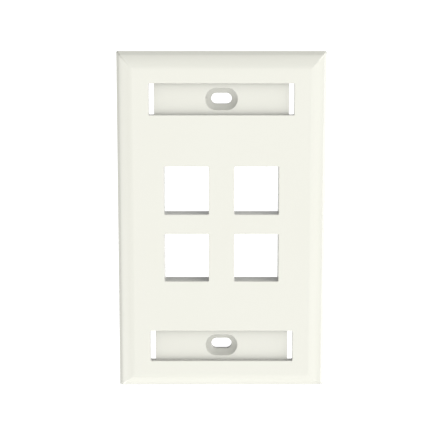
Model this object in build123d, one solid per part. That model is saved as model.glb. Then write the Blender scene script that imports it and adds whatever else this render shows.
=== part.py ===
from build123d import *
import os

# A single-gang wall faceplate with four snap-in jack ports and two label windows,
# moulded in one shot. The wall plane is Y = 0, the face looks along -Y and Z is up.
# The origin is the middle of the plate on the wall plane. All sizes are millimetres,
# and a depth is measured from the flat of the face towards the wall.

# Plate outline and its convex picture-frame border
plate_width = 69.85
plate_height = 114.3
plate_thickness = 7.1
wall = 2.0
border_width = 5.8
flank_height = 3.6
flank_inset = 1.1
border_swell = 0.78
corner_round = 0.5

# Jack ports: front opening, gap between columns, web between rows, rear sleeve
port_width = 14.8
port_height = 16.1
column_gap = 8.5
port_web = 1.5
port_wall = 1.5
sleeve_depth = 9.9

# Fixed-hook side of a port (below) and flexible-latch side (above)
hook_land = 7.4
hook_pocket = 1.9
hook_catch_drop = 0.7
latch_land = 4.0
latch_pocket = 3.2
latch_catch_rise = 1.6
catch_thickness = 1.3
catch_lead = 0.6

# Label windows, each with a floor between two clip slots
screw_pitch = 83.34
window_width = 47.95
window_height = 10.4
clip_slot_width = 1.72
recess_depth = 1.6
floor_thickness = 1.5
tray_wall = 1.5

# Dished screw slots in the window floors, for a number 6 oval-head screw
slot_travel = 3.3
screw_head_width = 7.5
screw_slot_width = 3.6
dish_depth = 2.4
dish_swell = 0.25
slot_land = 2.0
boss_wall = 1.3

# Ribs behind the face, and the low pads that the ejector pins leave
rib_thickness = 1.2
rib_drop = 1.0
tie_drop = 2.0
pin_mark_width = 3.0
pin_mark_height = 0.15

# Softened edges: corners and mouths of the front openings, rear rim of the sleeves
opening_corner_round = 0.3
mouth_round = 0.25
rear_round = 0.3

face_y = -plate_thickness
overcut = 2.0
tolerance = 0.01
port_pitch_x = port_width + column_gap
port_pitch_z = port_height + hook_pocket + latch_pocket + port_web
column_x = (-port_pitch_x / 2, port_pitch_x / 2)
row_z = (-port_pitch_z / 2, port_pitch_z / 2)
window_z = (-screw_pitch / 2, screw_pitch / 2)
sleeve_x = (column_gap / 2 - port_wall, column_gap / 2 + port_width + port_wall)
sleeve_z = (
    row_z[0] - port_height / 2 - hook_pocket - port_wall,
    row_z[1] + port_height / 2 + latch_pocket + port_wall,
)

# Section planes: local X runs across the plate and local Y runs out to the face
across_width = Plane(origin=(0, 0, 0), x_dir=(1, 0, 0), z_dir=(0, 0, -1))
across_height = Plane(origin=(0, 0, 0), x_dir=(0, 0, 1), z_dir=(1, 0, 0))


def depth_plane(depth, x=0.0, z=0.0):
    """A plane parallel to the face at a depth, with its normal into the plate."""
    return Plane(origin=(x, face_y + depth, z), x_dir=(1, 0, 0), z_dir=(0, 1, 0))


def near(first, second):
    """Whether two measurements agree."""
    return abs(first - second) < tolerance


def block(size_x, size_z, start, end, x=0.0, z=0.0):
    """A rectangular prism between two depths."""
    return extrude(depth_plane(start, x, z) * Rectangle(size_x, size_z), amount=end - start)


def section(size, foot=0.0):
    """Outer section of the plate: sloped flanks, convex borders and the flat face."""
    edge = size / 2
    shoulder = edge - flank_inset
    crown = edge - border_width
    front = [
        Line((-edge, 0), (-shoulder, flank_height)),
        SagittaArc((-shoulder, flank_height), (-crown, plate_thickness), border_swell),
        Line((-crown, plate_thickness), (crown, plate_thickness)),
        SagittaArc((crown, plate_thickness), (shoulder, flank_height), border_swell),
        Line((shoulder, flank_height), (edge, 0)),
    ]
    if foot:
        back = [Polyline((edge, 0), (edge, -foot), (-edge, -foot), (-edge, 0))]
    else:
        back = [Line((edge, 0), (-edge, 0))]
    return make_face(front + back)


def mitred(section_x, section_z):
    """What two crossed prisms share, which gives the picture-frame corners."""
    reach = max(plate_width, plate_height)
    upright = extrude(across_width * section_x, amount=reach, both=True)
    level = extrude(across_height * section_z, amount=reach, both=True)
    return upright & level


def mitre_edges(body):
    """The edges that run in from the four outer corners to the flat of the face."""
    def on_mitre(edge):
        size = edge.bounding_box().size
        return min(size.X, size.Y, size.Z) > tolerance
    return [edge for edge in body.edges() if on_mitre(edge)]


def shell():
    """The hollow plate: the outer form less the same form drawn in by the wall."""
    outer = mitred(section(plate_width), section(plate_height))
    outer = fillet(mitre_edges(outer), radius=corner_round)
    inner_x = offset(section(plate_width, 2 * wall), amount=-wall, kind=Kind.INTERSECTION)
    inner_z = offset(section(plate_height, 2 * wall), amount=-wall, kind=Kind.INTERSECTION)
    return outer - mitred(inner_x, inner_z)


def port_sleeve(x, z):
    """The outside of one port's sleeve, from inside the face skin to the rear."""
    top = port_height / 2 + latch_pocket + port_wall
    bottom = port_height / 2 + hook_pocket + port_wall
    middle = z + (top - bottom) / 2
    return block(port_width + 2 * port_wall, top + bottom, wall / 2, sleeve_depth, x, middle)


def port_void(x, z):
    """The way through one port: opening, hook pocket below, latch pocket above."""
    half = port_height / 2
    catch = sleeve_depth - catch_thickness
    lead = sleeve_depth - catch_lead
    rear = sleeve_depth + overcut
    spread = catch_lead + overcut
    hook_tip = -half - hook_catch_drop
    latch_tip = half + latch_catch_rise
    outline = Polyline(
        (-half, -overcut),
        (-half, hook_land),
        (-half - hook_pocket, hook_land),
        (-half - hook_pocket, catch),
        (hook_tip, catch),
        (hook_tip, lead),
        (hook_tip - spread, rear),
        (latch_tip + spread, rear),
        (latch_tip, lead),
        (latch_tip, catch),
        (half + latch_pocket, catch),
        (half + latch_pocket, latch_land),
        (half, latch_land),
        (half, -overcut),
        close=True,
    )
    # local X is the plate's Z, and local Y is depth
    side = Plane(origin=(x, face_y, z), x_dir=(0, 0, 1), z_dir=(-1, 0, 0))
    return extrude(side * make_face(outline), amount=port_width / 2, both=True)


def column_ties():
    """Webs that join the two columns of sleeves above, between and below the rows."""
    top = sleeve_z[1] - port_wall / 2
    middle = row_z[1] - port_height / 2 - hook_pocket - port_web / 2
    bottom = sleeve_z[0] + port_wall / 2
    deep = sleeve_depth - tie_drop
    return [block(column_gap, port_wall, wall / 2, deep, 0, z) for z in (top, middle, bottom)]


def tray(z):
    """The outside of one label window's tray, behind the face skin."""
    depth = recess_depth + floor_thickness
    return block(window_width + 2 * tray_wall, window_height + 2 * tray_wall, wall / 2, depth, 0, z)


def screw_boss(z):
    """The raised pad behind a window floor that the screw slot runs through."""
    start = recess_depth + floor_thickness / 2
    end = recess_depth + dish_depth + slot_land
    outline = SlotCenterToCenter(slot_travel, screw_head_width + 2 * boss_wall)
    return extrude(depth_plane(start, 0, z) * outline, amount=end - start)


def window_void(z):
    """One label recess with the two clip slots that pass right through its ends."""
    slot_x = (window_width - clip_slot_width) / 2
    cut = block(window_width, window_height, -overcut, recess_depth, 0, z)
    for x in (-slot_x, slot_x):
        cut += block(clip_slot_width, window_height, -overcut, plate_thickness, x, z)
    return cut


def dish_section():
    """Half of a screw slot's section: the curved dish for the head, then the straight land."""
    mouth = screw_head_width / 2
    throat = screw_slot_width / 2
    seat = recess_depth + dish_depth
    deep = seat + slot_land + overcut
    dish = SagittaArc((mouth, recess_depth), (throat, seat), -dish_swell)
    rest = Polyline((throat, seat), (throat, deep), (0, deep), (0, 0), (mouth, 0), (mouth, recess_depth))
    return make_face([dish, rest])


def screw_void(z):
    """A dished slot: the half section carried between its two ends and turned at each."""
    half = slot_travel / 2
    # local X runs away from the slot's middle line and local Y is depth
    upper = Plane(origin=(0, face_y, z), x_dir=(0, 0, 1), z_dir=(-1, 0, 0)) * dish_section()
    lower = Plane(origin=(0, face_y, z), x_dir=(0, 0, -1), z_dir=(1, 0, 0)) * dish_section()
    cut = extrude(upper, amount=half, both=True) + extrude(lower, amount=half, both=True)
    for x in (-half, half):
        end = Plane(origin=(x, face_y, z), x_dir=(1, 0, 0), z_dir=(0, 0, 1))
        cut += revolve(end * dish_section(), axis=Axis((x, face_y, z), (0, 1, 0)))
    return cut


def tray_ribs():
    """Two ribs at each end of the plate, from the window tray to the port sleeves."""
    inner = row_z[1] + port_height / 2
    outer = window_z[1] - window_height / 2
    deep = plate_thickness - rib_drop
    middle = (inner + outer) / 2
    places = [(x, z) for x in column_x for z in (-middle, middle)]
    return [block(rib_thickness, outer - inner, wall / 2, deep, x, z) for x, z in places]


def pin_marks():
    """The low round pads that ejector pins leave on the back of the skin and trays."""
    tray_back = recess_depth + floor_thickness
    side_x = (sleeve_x[1] + plate_width / 2 - border_width) / 2
    gap_z = (sleeve_z[1] + window_z[1] - window_height / 2) / 2
    on_skin = [(x, z) for x in (-side_x, side_x) for z in (-port_pitch_z, 0, port_pitch_z)]
    on_skin += [(0, -gap_z), (0, gap_z)]
    on_tray = [(x, z) for x in column_x for z in window_z]
    places = [(x, z, wall) for x, z in on_skin] + [(x, z, tray_back) for x, z in on_tray]
    outline = Circle(pin_mark_width / 2)
    return [
        extrude(depth_plane(depth - wall / 4, x, z) * outline, amount=wall / 4 + pin_mark_height)
        for x, z, depth in places
    ]


def opening_corners(body):
    """The edges that run in from the corners of the port and window openings."""
    corners = [(x, z, port_width, port_height) for x in column_x for z in row_z]
    corners += [(0, z, window_width, window_height) for z in window_z]

    def on_corner(edge):
        box = edge.bounding_box()
        straight_in = near(box.size.X, 0) and near(box.size.Z, 0) and near(box.min.Y, face_y)
        return straight_in and any(
            near(abs(box.min.X - x), width / 2) and near(abs(box.min.Z - z), height / 2)
            for x, z, width, height in corners
        )
    return [edge for edge in body.edges() if on_corner(edge)]


def rear_edges(body):
    """The outer rim of each column of sleeves, on their rear faces."""
    rear = face_y + sleeve_depth

    def on_rim(edge):
        box = edge.bounding_box()
        at_rear = near(box.min.Y, rear) and near(box.max.Y, rear)
        on_side = near(box.size.X, 0) and any(near(abs(box.min.X), x) for x in sleeve_x)
        on_end = near(box.size.Z, 0) and any(near(box.min.Z, z) for z in sleeve_z)
        return at_rear and (on_side or on_end)
    return [edge for edge in body.edges() if on_rim(edge)]


def front_edges(body):
    """The mouth edges of the ports and label windows, on the flat of the face."""
    def on_mouth(edge):
        box = edge.bounding_box()
        on_face = near(box.min.Y, face_y) and near(box.max.Y, face_y)
        inside_x = max(abs(box.min.X), abs(box.max.X)) < plate_width / 2 - border_width - tolerance
        inside_z = max(abs(box.min.Z), abs(box.max.Z)) < plate_height / 2 - border_width - tolerance
        return on_face and inside_x and inside_z
    return [edge for edge in body.edges() if on_mouth(edge)]


def faceplate():
    """The whole moulding."""
    ports = [(x, z) for z in row_z for x in column_x]
    body = shell()
    for x, z in ports:
        body += port_sleeve(x, z)
    for z in window_z:
        body += tray(z)
        body += screw_boss(z)
    for rib in column_ties() + tray_ribs() + pin_marks():
        body += rib
    for x, z in ports:
        body -= port_void(x, z)
    for z in window_z:
        body -= window_void(z)
        body -= screw_void(z)
    body = fillet(opening_corners(body), radius=opening_corner_round)
    body = fillet(rear_edges(body), radius=rear_round)
    return fillet(front_edges(body), radius=mouth_round)


os.makedirs("parts", exist_ok=True)
export_step(faceplate(), "parts/faceplate.step")
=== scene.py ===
import math

import bmesh
import bpy
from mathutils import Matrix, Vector


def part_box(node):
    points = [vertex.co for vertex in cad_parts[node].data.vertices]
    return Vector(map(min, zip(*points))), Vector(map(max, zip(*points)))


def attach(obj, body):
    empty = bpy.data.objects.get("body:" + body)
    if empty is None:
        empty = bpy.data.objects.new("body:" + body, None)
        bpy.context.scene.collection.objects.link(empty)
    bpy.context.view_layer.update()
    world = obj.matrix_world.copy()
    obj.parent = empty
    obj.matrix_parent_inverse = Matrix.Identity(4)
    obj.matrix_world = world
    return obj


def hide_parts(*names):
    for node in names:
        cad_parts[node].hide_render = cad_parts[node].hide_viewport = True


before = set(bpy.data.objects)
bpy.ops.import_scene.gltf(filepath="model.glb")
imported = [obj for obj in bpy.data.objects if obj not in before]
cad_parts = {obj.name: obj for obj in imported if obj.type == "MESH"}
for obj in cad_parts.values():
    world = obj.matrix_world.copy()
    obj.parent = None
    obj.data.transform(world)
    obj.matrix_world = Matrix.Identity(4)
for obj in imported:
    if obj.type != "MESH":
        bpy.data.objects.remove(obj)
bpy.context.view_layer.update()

# The moulding.
# A single-gang wall plate shot in one piece from off-white ABS, face down in a polished cavity,
# with its port sleeves, label trays, screw bosses and ribs formed by the core behind it.
plate_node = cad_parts["faceplate"]
low_corner, high_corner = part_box("faceplate")
face_y = low_corner.y
same_point = 0.000001
same_plane = math.radians(0.8)

# the CAD shape, with its loose triangles merged and each flat face made whole again
cad_shading = ("custom_normal", "sharp_face", "sharp_edge")
moulding_mesh = plate_node.data.copy()
moulding_mesh.name = "moulding"
for layer in cad_shading:
    if layer in moulding_mesh.attributes:
        moulding_mesh.attributes.remove(moulding_mesh.attributes[layer])
shape = bmesh.new()
shape.from_mesh(moulding_mesh)
bmesh.ops.remove_doubles(shape, verts=shape.verts, dist=same_point)
bmesh.ops.dissolve_limit(shape, angle_limit=same_plane, verts=shape.verts, edges=shape.edges)

# soft edges: no moulded edge is knife sharp, and the mouths and small corners are rounded already
edge_softness = 0.00007
crisp_angle = math.radians(40)
least_crisp_length = 0.0001
rounded_mouth_depth = 0.0003


def is_crisp(edge):
    """Whether an edge is sharp in the CAD shape, apart from the rounded mouths and small corners."""
    middle = (edge.verts[0].co + edge.verts[1].co) / 2
    behind_mouths = middle.y > face_y + rounded_mouth_depth
    on_back_rim = abs(middle.y) < same_point
    long_enough = on_back_rim or edge.calc_length() > least_crisp_length
    return edge.calc_face_angle(0.0) > crisp_angle and behind_mouths and long_enough


bmesh.ops.bevel(
    shape,
    geom=[edge for edge in shape.edges if is_crisp(edge)],
    offset=edge_softness,
    offset_type="OFFSET",
    affect="EDGES",
    segments=2,
    profile=0.5,
    clamp_overlap=False,
    material=-1,
)
bmesh.ops.dissolve_degenerate(shape, dist=same_point, edges=shape.edges)

# two finishes: the cavity made the outside, the label windows, the mouths of the ports and the
# dishes round the screw slots, and the core made the rest
polished_slot = 0
core_slot = 1
wall = 0.002
core_depth = 0.0018
facing_back = 0.9
screw_slot_z = 0.04167
dish_half_width = 0.006
dish_half_height = 0.0041
dish_bottom_depth = 0.0041


def in_dish(point):
    """Whether a point lies in the countersunk dish round a screw slot."""
    beside_slot = abs(point.x) < dish_half_width
    level_with_slot = abs(abs(point.z) - screw_slot_z) < dish_half_height
    above_bottom = point.y < face_y + dish_bottom_depth
    return beside_slot and level_with_slot and above_bottom


def from_core(face):
    """Whether the core, not the polished cavity, formed this face."""
    middle = face.calc_center_median()
    deep = middle.y > face_y + core_depth
    inside_x = abs(middle.x) < high_corner.x - wall
    inside_z = abs(middle.z) < high_corner.z - wall
    in_hollow = deep and inside_x and inside_z and not in_dish(middle)
    return in_hollow or face.normal.y > facing_back


for face in shape.faces:
    face.smooth = True
    face.material_index = core_slot if from_core(face) else polished_slot
for edge in shape.edges:
    edge.smooth = edge.calc_face_angle(0.0) < crisp_angle
shape.to_mesh(moulding_mesh)
shape.free()
moulding = bpy.data.objects.new("moulding", moulding_mesh)
bpy.context.scene.collection.objects.link(moulding)
weighted = moulding.modifiers.new("flat faces stay flat", "WEIGHTED_NORMAL")
weighted.keep_sharp = True

# moulded surface: pigment drift, polishing haze, slow ripple and fine grain of moulded ABS
moulded_surface = bpy.data.node_groups.new("moulded surface", "ShaderNodeTree")
surface_inputs = {
    "Colour": "NodeSocketColor",
    "Deeper Colour": "NodeSocketColor",
    "Roughness": "NodeSocketFloat",
    "Haze": "NodeSocketFloat",
    "Ripple": "NodeSocketFloat",
    "Grain": "NodeSocketFloat",
}
surface_outputs = {
    "Colour": "NodeSocketColor",
    "Roughness": "NodeSocketFloat",
    "Height": "NodeSocketFloat",
}
for name, kind in surface_inputs.items():
    moulded_surface.interface.new_socket(name, in_out="INPUT", socket_type=kind)
for name, kind in surface_outputs.items():
    moulded_surface.interface.new_socket(name, in_out="OUTPUT", socket_type=kind)
nodes = moulded_surface.nodes
links = moulded_surface.links
given = nodes.new("NodeGroupInput")
result = nodes.new("NodeGroupOutput")
place = nodes.new("ShaderNodeTexCoord")


def clouds(scale, detail):
    """A cloudy pattern that is fixed to the plate."""
    noise = nodes.new("ShaderNodeTexNoise")
    noise.inputs["Scale"].default_value = scale
    noise.inputs["Detail"].default_value = detail
    links.new(place.outputs["Object"], noise.inputs["Vector"])
    return noise.outputs["Fac"]


pigment_drift = clouds(scale=45.0, detail=2.0)
polishing_haze = clouds(scale=260.0, detail=3.0)
slow_ripple = clouds(scale=900.0, detail=1.0)
fine_grain = clouds(scale=5200.0, detail=2.0)
tint = nodes.new("ShaderNodeMix")
tint.data_type = "RGBA"
links.new(pigment_drift, tint.inputs["Factor"])
links.new(given.outputs["Colour"], tint.inputs["A"])
links.new(given.outputs["Deeper Colour"], tint.inputs["B"])
links.new(tint.outputs["Result"], result.inputs["Colour"])
gloss = nodes.new("ShaderNodeMath")
gloss.operation = "MULTIPLY_ADD"
links.new(polishing_haze, gloss.inputs[0])
links.new(given.outputs["Haze"], gloss.inputs[1])
links.new(given.outputs["Roughness"], gloss.inputs[2])
links.new(gloss.outputs["Value"], result.inputs["Roughness"])
slow = nodes.new("ShaderNodeMath")
slow.operation = "MULTIPLY"
links.new(slow_ripple, slow.inputs[0])
links.new(given.outputs["Ripple"], slow.inputs[1])
height = nodes.new("ShaderNodeMath")
height.operation = "MULTIPLY_ADD"
links.new(fine_grain, height.inputs[0])
links.new(given.outputs["Grain"], height.inputs[1])
links.new(slow.outputs["Value"], height.inputs[2])
links.new(height.outputs["Value"], result.inputs["Height"])

off_white = (0.865, 0.865, 0.785, 1.0)
deeper_off_white = (0.852, 0.85, 0.765, 1.0)
plastic_ior = 1.5
relief_height = 0.00001


def moulded_plastic(name, roughness, haze, ripple, grain):
    """The off-white plastic with one finish, whose surface and relief are nodes of those names."""
    plastic = bpy.data.materials.new(name)
    plastic.use_nodes = True
    nodes = plastic.node_tree.nodes
    links = plastic.node_tree.links
    shader = nodes["Principled BSDF"]
    shader.inputs["IOR"].default_value = plastic_ior
    surface = nodes.new("ShaderNodeGroup")
    surface.name = "surface"
    surface.node_tree = moulded_surface
    surface.inputs["Colour"].default_value = off_white
    surface.inputs["Deeper Colour"].default_value = deeper_off_white
    surface.inputs["Roughness"].default_value = roughness
    surface.inputs["Haze"].default_value = haze
    surface.inputs["Ripple"].default_value = ripple
    surface.inputs["Grain"].default_value = grain
    relief = nodes.new("ShaderNodeBump")
    relief.name = "relief"
    relief.inputs["Strength"].default_value = 1.0
    relief.inputs["Distance"].default_value = relief_height
    links.new(surface.outputs["Colour"], shader.inputs["Base Color"])
    links.new(surface.outputs["Roughness"], shader.inputs["Roughness"])
    links.new(surface.outputs["Height"], relief.inputs["Height"])
    links.new(relief.outputs["Normal"], shader.inputs["Normal"])
    return plastic


# polished face: the cavity side, satin and nearly smooth
polished_face = moulded_plastic("polished face", roughness=0.2, haze=0.08, ripple=0.6, grain=0.05)

# core side: the same plastic off a milled steel core, more matt, with the cutter's passes left in it
core_side = moulded_plastic("core side", roughness=0.38, haze=0.14, ripple=0.8, grain=0.35)
pass_scale = 400.0
pass_height = 0.3
nodes = core_side.node_tree.nodes
links = core_side.node_tree.links
place = nodes.new("ShaderNodeTexCoord")
passes = nodes.new("ShaderNodeTexWave")
passes.wave_type = "BANDS"
passes.bands_direction = "Z"
passes.inputs["Scale"].default_value = pass_scale
passes.inputs["Distortion"].default_value = 1.2
passes.inputs["Detail"].default_value = 1.0
passes.inputs["Detail Scale"].default_value = 0.4
links.new(place.outputs["Object"], passes.inputs["Vector"])
scoring = nodes.new("ShaderNodeMath")
scoring.operation = "MULTIPLY_ADD"
scoring.inputs[1].default_value = pass_height
links.new(passes.outputs["Fac"], scoring.inputs[0])
links.new(nodes["surface"].outputs["Height"], scoring.inputs[2])
links.new(scoring.outputs["Value"], nodes["relief"].inputs["Height"])

moulding_mesh.materials.clear()
moulding_mesh.materials.append(polished_face)
moulding_mesh.materials.append(core_side)
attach(moulding, "root")
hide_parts("faceplate")

# The studio.
# A white paper floor just under the plate's lower edge, a white backdrop, and six large soft boxes
# all round: the two strong ones stand at the sides, one low and one high, and the rest fill.
floor_gap = 0.0001
floor_half_width = 3.0
white = (1.0, 1.0, 1.0, 1.0)
paper_grey = (0.3, 0.3, 0.3, 1.0)
floor_mesh = bpy.data.meshes.new("floor")
sheet = bmesh.new()
bmesh.ops.create_grid(sheet, x_segments=1, y_segments=1, size=floor_half_width)
bmesh.ops.translate(sheet, verts=sheet.verts, vec=Vector((0, 0, low_corner.z - floor_gap)))
sheet.to_mesh(floor_mesh)
sheet.free()
floor = bpy.data.objects.new("floor", floor_mesh)
bpy.context.scene.collection.objects.link(floor)
floor.visible_diffuse = False
floor.visible_glossy = False
floor.visible_shadow = False
white_paper = bpy.data.materials.new("white paper")
white_paper.use_nodes = True
paper = white_paper.node_tree.nodes["Principled BSDF"]
paper.inputs["Base Color"].default_value = paper_grey
paper.inputs["Roughness"].default_value = 1.0
paper.inputs["Specular IOR Level"].default_value = 0.0
paper.inputs["Emission Color"].default_value = white
paper.inputs["Emission Strength"].default_value = 1.0
floor_mesh.materials.append(white_paper)

# the backdrop is what the camera sees past the plate, and the soft boxes are what lights the plate
backdrop_brightness = 1.05
studio = bpy.data.worlds.new("studio")
bpy.context.scene.world = studio
studio.use_nodes = True
nodes = studio.node_tree.nodes
links = studio.node_tree.links
nodes.clear()
out = nodes.new("ShaderNodeOutputWorld")
seen = nodes.new("ShaderNodeLightPath")
backdrop = nodes.new("ShaderNodeBackground")
backdrop.inputs["Color"].default_value = white
backdrop.inputs["Strength"].default_value = backdrop_brightness
dome = nodes.new("ShaderNodeBackground")
dome.inputs["Strength"].default_value = 1.0
mix = nodes.new("ShaderNodeMixShader")
links.new(seen.outputs["Is Camera Ray"], mix.inputs["Fac"])
links.new(dome.outputs["Background"], mix.inputs[1])
links.new(backdrop.outputs["Background"], mix.inputs[2])
links.new(mix.outputs["Shader"], out.inputs["Surface"])

# each soft box by its name: where it stands, seen from the plate, and how bright its middle is
soft_boxes = {
    "low left": (Vector((-1, 0, -0.95)), 3.6),
    "high right": (Vector((1, 0, 1)), 3.2),
    "low right, in front": (Vector((1, -1, -1)), 2.1),
    "in front": (Vector((0, -1, 0)), 1.3),
    "high left, in front": (Vector((-1, -1, 1)), 0.9),
    "behind": (Vector((0.3, 1, -0.3)), 1.6),
}
soft_box_falloff = 6.0
direction = nodes.new("ShaderNodeTexCoord")
all_light = None
for label, (towards, brightness) in soft_boxes.items():
    facing = nodes.new("ShaderNodeVectorMath")
    facing.label = label
    facing.operation = "DOT_PRODUCT"
    facing.inputs[1].default_value = towards.normalized()
    links.new(direction.outputs["Generated"], facing.inputs[0])
    in_half = nodes.new("ShaderNodeMath")
    in_half.operation = "MAXIMUM"
    in_half.inputs[1].default_value = 0.0
    links.new(facing.outputs["Value"], in_half.inputs[0])
    soft = nodes.new("ShaderNodeMath")
    soft.operation = "POWER"
    soft.inputs[1].default_value = soft_box_falloff
    links.new(in_half.outputs["Value"], soft.inputs[0])
    added = nodes.new("ShaderNodeMath")
    added.operation = "MULTIPLY_ADD"
    added.inputs[1].default_value = brightness
    added.inputs[2].default_value = 0.0
    links.new(soft.outputs["Value"], added.inputs[0])
    if all_light:
        links.new(all_light, added.inputs[2])
    all_light = added.outputs["Value"]
links.new(all_light, dome.inputs["Color"])

# the boxes alone light the windows and ports, with nothing passed on from wall to wall
bpy.context.scene.cycles.diffuse_bounces = 0

# The camera.
# A long lens a little above the plate, tipped down at it, as in the photograph.
lens_length = 117.852
camera_distance = 0.483313
camera_height = 0.081883
camera_tip = 0.168275
nearest_seen = 0.01
camera_data = bpy.data.cameras.new("camera")
camera_data.sensor_width = 36.0
camera_data.lens = lens_length
camera_data.clip_start = nearest_seen
camera = bpy.data.objects.new("camera", camera_data)
camera.location = (0.0, -camera_distance, camera_height)
camera.rotation_euler = (math.pi / 2 - camera_tip, 0.0, 0.0)
bpy.context.scene.collection.objects.link(camera)
bpy.context.scene.camera = camera
bpy.context.scene.view_settings.view_transform = "Standard"
